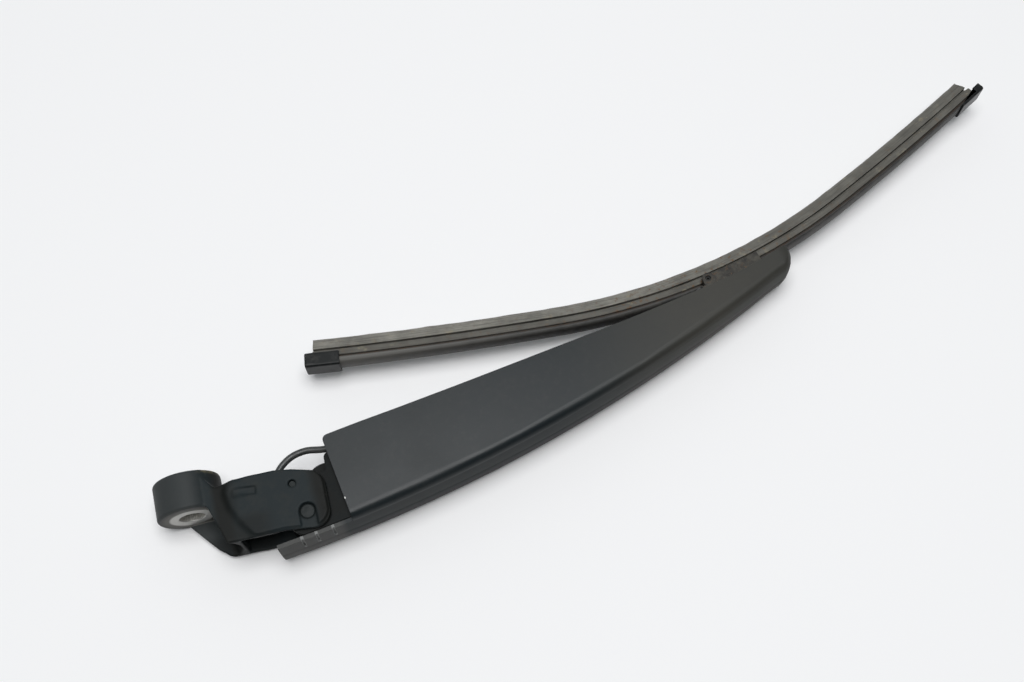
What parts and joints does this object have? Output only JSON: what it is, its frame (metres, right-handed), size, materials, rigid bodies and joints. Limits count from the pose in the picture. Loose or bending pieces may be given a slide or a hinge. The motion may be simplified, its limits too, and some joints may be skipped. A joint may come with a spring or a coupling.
{
  "type": "wiper arm",
  "caption": "Rear window wiper arm with spindle boss, folding spring-loaded arm, washer hose and a curved flat wiper blade.",
  "frame": {"origin": "on the axis of the spindle bore, in the nut's seat face, in the middle of the boss's width", "axes": "+X along the arm to its tip, +Y along the spindle towards the window, +Z across the arm; the part lies on its side"},
  "size_m": [0.3982, 0.138, 0.027],
  "materials": {
    "cast_black": "satin",
    "cover_plastic": "satin",
    "bracket_steel": "satin",
    "pin_steel": "satin",
    "spring_steel": "satin",
    "bush_plastic": "satin",
    "hose_rubber": "satin",
    "black_plastic": "satin",
    "blade_rubber": "dusty",
    "spoiler_rubber": "dusty",
    "strip_steel": "worn"
  },
  "bodies": {
    "head": {"arm_head": "cast_black", "pivot_pin": "pin_steel", "link_pin": "pin_steel", "hose_nipple": "black_plastic"},
    "link": {"spring_link": "bracket_steel"},
    "spring": {"tension_spring": "spring_steel"},
    "arm": {"arm_cover": "cover_plastic", "arm_bracket": "bracket_steel", "pivot_bushes": "bush_plastic", "spring_anchor": "pin_steel", "washer_hose": "hose_rubber", "nozzle_holder": "black_plastic", "washer_nozzle": "black_plastic", "blade_pin": "pin_steel"},
    "blade": {"blade_connector": "black_plastic", "wiper_rubber": "blade_rubber", "strip_near": "strip_steel", "strip_far": "strip_steel", "spoiler_inner": "spoiler_rubber", "spoiler_outer": "spoiler_rubber", "end_cap_inner": "black_plastic", "end_cap_tip": "black_plastic"}
  },
  "joints": [
    {"name": "arm_fold", "type": "hinge", "parent": "head", "child": "arm", "pos_m": [0.046, -0.0125, 0], "axis": [0, 0, -1], "range_deg": [0, 75], "stiffness_Nm_per_rad": 0.15, "springref_deg": -28.65, "deforming": ["washer_hose"]},
    {"name": "link_swing", "type": "hinge", "parent": "head", "child": "link", "pos_m": [0.04226, -0.00026, 0], "axis": [0, 0, -1], "range_deg": [0, 70]},
    {"name": "spring_stretch", "type": "slide", "parent": "link", "child": "spring", "axis": [0.997, 0.077, 0], "range_m": [0, 0.0108], "deforming": ["tension_spring"]},
    {"name": "blade_rock", "type": "hinge", "parent": "arm", "child": "blade", "pos_m": [0.24157, 0.04023, 0], "axis": [0, 0, 1], "range_deg": [-6, 6]}
  ],
  "couplings": [
    {"joint": "link_swing", "follows": "arm_fold", "ratio": 0.9217},
    {"joint": "spring_stretch", "follows": "arm_fold", "m_per_rad": 0.008107}
  ]
}
